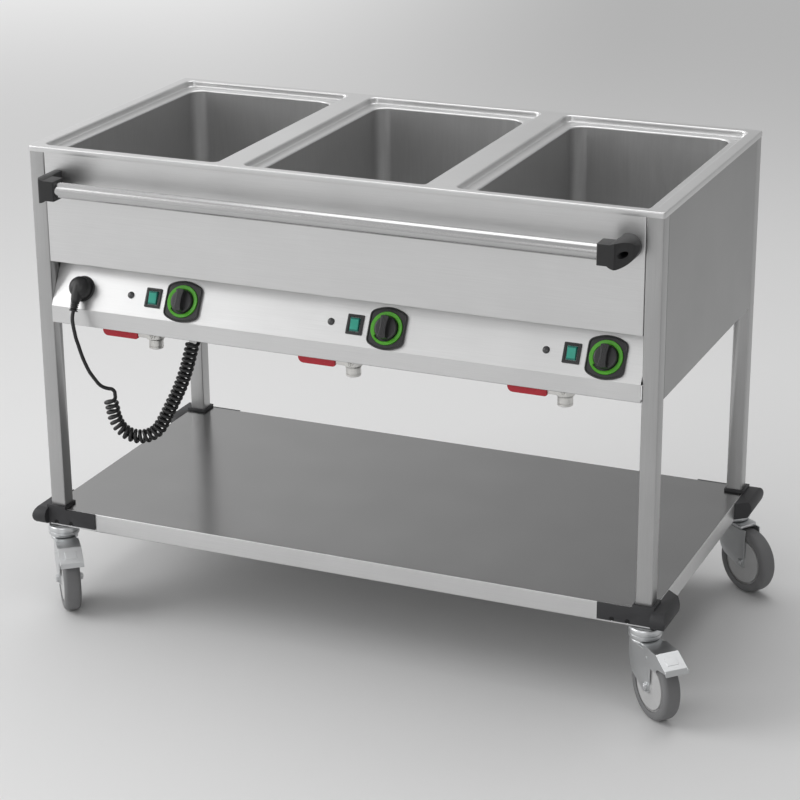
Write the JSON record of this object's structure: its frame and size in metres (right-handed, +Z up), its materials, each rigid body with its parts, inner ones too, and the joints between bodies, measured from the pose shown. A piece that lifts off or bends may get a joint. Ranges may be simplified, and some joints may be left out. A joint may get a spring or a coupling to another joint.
{
  "type": "heated serving trolley",
  "caption": "Stainless heated serving trolley with wells for full-size pans, drain taps, push handle, lower shelf and braked swivel castors.",
  "frame": {"origin": "on the floor under the middle of the deck", "axes": "+X to the right along the trolley, -Y to the front where the controls and the handle are, +Z up"},
  "size_m": [1.3523, 0.7455, 0.9],
  "materials": {
    "stainless_steel": "satin brushed stainless sheet",
    "tank_steel": "satin stainless of the deep-drawn wells, darker inside",
    "heater_aluminium": "plain aluminium heater plate",
    "black_plastic": "black moulded plastic, lightly grained",
    "green_ring": "translucent green plastic ring",
    "teal_lens": "glossy blue-green rocker lens",
    "lamp_grey": "dark grey unlit lamp lens",
    "nickel_plate": "nickel-plated brass and steel",
    "red_grip": "red dipped plastic sleeve",
    "zinc_plate": "bright zinc-plated pressed steel",
    "hub_plastic": "light grey nylon wheel centre",
    "grey_tyre": "grey non-marking rubber tread",
    "cord_rubber": "black flexible cord sheath"
  },
  "bodies": {
    "trolley": {"top_deck": "stainless_steel", "well_left": "tank_steel", "well_middle": "tank_steel", "well_right": "tank_steel", "heater_elements": "heater_aluminium", "leg_front_left": "stainless_steel", "leg_front_right": "stainless_steel", "leg_rear_left": "stainless_steel", "leg_rear_right": "stainless_steel", "front_panel": "stainless_steel", "rear_panel": "stainless_steel", "side_panel_left": "stainless_steel", "side_panel_right": "stainless_steel", "control_panel": "stainless_steel", "bottom_tray": "stainless_steel", "lower_shelf": "stainless_steel", "corner_bumpers": "black_plastic", "fixing_screws": "zinc_plate", "handle_bar": "stainless_steel", "handle_bracket_left": "black_plastic", "handle_bracket_right": "black_plastic", "thermostat_bezels": "black_plastic", "glow_rings": "green_ring", "thermostats": "zinc_plate", "switch_frames": "black_plastic", "pilot_lamps": "lamp_grey", "valve_bodies": "nickel_plate", "parking_socket": "black_plastic", "cord_gland": "black_plastic", "plug": "black_plastic", "cord_lead": "cord_rubber", "cord_coil": "cord_rubber", "cord_tail": "cord_rubber", "castor_heads": "zinc_plate"},
    "knob_left": {"knob_left": "black_plastic"},
    "knob_middle": {"knob_middle": "black_plastic"},
    "knob_right": {"knob_right": "black_plastic"},
    "rocker_left": {"rocker_left": "teal_lens"},
    "rocker_middle": {"rocker_middle": "teal_lens"},
    "rocker_right": {"rocker_right": "teal_lens"},
    "tap_lever_left": {"valve_lever_left": "nickel_plate", "lever_grip_left": "red_grip"},
    "tap_lever_middle": {"valve_lever_middle": "nickel_plate", "lever_grip_middle": "red_grip"},
    "tap_lever_right": {"valve_lever_right": "nickel_plate", "lever_grip_right": "red_grip"},
    "castor_front_left": {"castor_fork_front_left": "zinc_plate"},
    "wheel_front_left": {"wheel_hub_front_left": "hub_plastic", "tyre_front_left": "grey_tyre"},
    "brake_front_left": {"brake_pedal_front_left": "zinc_plate"},
    "castor_front_right": {"castor_fork_front_right": "zinc_plate"},
    "wheel_front_right": {"wheel_hub_front_right": "hub_plastic", "tyre_front_right": "grey_tyre"},
    "brake_front_right": {"brake_pedal_front_right": "zinc_plate"},
    "castor_rear_left": {"castor_fork_rear_left": "zinc_plate"},
    "wheel_rear_left": {"wheel_hub_rear_left": "hub_plastic", "tyre_rear_left": "grey_tyre"},
    "castor_rear_right": {"castor_fork_rear_right": "zinc_plate"},
    "wheel_rear_right": {"wheel_hub_rear_right": "hub_plastic", "tyre_rear_right": "grey_tyre"}
  },
  "joints": [
    {"name": "knob_left_turn", "type": "hinge", "parent": "trolley", "child": "knob_left", "pos_m": [-0.3, -0.28193, 0.63543], "axis": [0, -0.8796, 0.4756], "range_deg": [-270, 0]},
    {"name": "knob_middle_turn", "type": "hinge", "parent": "trolley", "child": "knob_middle", "pos_m": [0.1, -0.28193, 0.63543], "axis": [0, -0.8796, 0.4756], "range_deg": [-270, 0]},
    {"name": "knob_right_turn", "type": "hinge", "parent": "trolley", "child": "knob_right", "pos_m": [0.5, -0.28193, 0.63543], "axis": [0, -0.8796, 0.4756], "range_deg": [-270, 0]},
    {"name": "rocker_left_tilt", "type": "hinge", "parent": "trolley", "child": "rocker_left", "pos_m": [-0.3615, -0.28263, 0.63581], "axis": [1, 0, 0], "range_deg": [-14, 0]},
    {"name": "rocker_middle_tilt", "type": "hinge", "parent": "trolley", "child": "rocker_middle", "pos_m": [0.0385, -0.28263, 0.63581], "axis": [1, 0, 0], "range_deg": [-14, 0]},
    {"name": "rocker_right_tilt", "type": "hinge", "parent": "trolley", "child": "rocker_right", "pos_m": [0.4385, -0.28263, 0.63581], "axis": [1, 0, 0], "range_deg": [-14, 0]},
    {"name": "tap_left_turn", "type": "hinge", "parent": "trolley", "child": "tap_lever_left", "pos_m": [-0.391, -0.2275, 0.55], "axis": [0, -1, 0], "range_deg": [0, 90]},
    {"name": "tap_middle_turn", "type": "hinge", "parent": "trolley", "child": "tap_lever_middle", "pos_m": [0.009, -0.2275, 0.55], "axis": [0, -1, 0], "range_deg": [0, 90]},
    {"name": "tap_right_turn", "type": "hinge", "parent": "trolley", "child": "tap_lever_right", "pos_m": [0.409, -0.2275, 0.55], "axis": [0, -1, 0], "range_deg": [0, 90]},
    {"name": "castor_front_left_swivel", "type": "hinge", "parent": "trolley", "child": "castor_front_left", "pos_m": [-0.5813, -0.2808, 0.1325], "axis": [0, 0, 1], "continuous": true},
    {"name": "wheel_front_left_spin", "type": "hinge", "parent": "castor_front_left", "child": "wheel_front_left", "pos_m": [-0.55483, -0.31468, 0.0625], "axis": [0.788, 0.6157, 0], "continuous": true},
    {"name": "brake_front_left_press", "type": "hinge", "parent": "castor_front_left", "child": "brake_front_left", "pos_m": [-0.55421, -0.31547, 0.118], "axis": [0.788, 0.6157, 0], "range_deg": [0, 8.5]},
    {"name": "castor_front_right_swivel", "type": "hinge", "parent": "trolley", "child": "castor_front_right", "pos_m": [0.5813, -0.2808, 0.1325], "axis": [0, 0, 1], "continuous": true},
    {"name": "wheel_front_right_spin", "type": "hinge", "parent": "castor_front_right", "child": "wheel_front_right", "pos_m": [0.61275, -0.31013, 0.0625], "axis": [0.682, 0.7314, 0], "continuous": true},
    {"name": "brake_front_right_press", "type": "hinge", "parent": "castor_front_right", "child": "brake_front_right", "pos_m": [0.61348, -0.31081, 0.118], "axis": [0.682, 0.7314, 0], "range_deg": [0, 8.5]},
    {"name": "castor_rear_left_swivel", "type": "hinge", "parent": "trolley", "child": "castor_rear_left", "pos_m": [-0.5813, 0.2808, 0.1325], "axis": [0, 0, 1], "continuous": true},
    {"name": "wheel_rear_left_spin", "type": "hinge", "parent": "castor_rear_left", "child": "wheel_rear_left", "pos_m": [-0.61424, 0.30844, 0.0625], "axis": [-0.6428, -0.766, 0], "continuous": true},
    {"name": "castor_rear_right_swivel", "type": "hinge", "parent": "trolley", "child": "castor_rear_right", "pos_m": [0.5813, 0.2808, 0.1325], "axis": [0, 0, 1], "continuous": true},
    {"name": "wheel_rear_right_spin", "type": "hinge", "parent": "castor_rear_right", "child": "wheel_rear_right", "pos_m": [0.61777, 0.25801, 0.0625], "axis": [0.5299, 0.848, 0], "continuous": true}
  ]
}
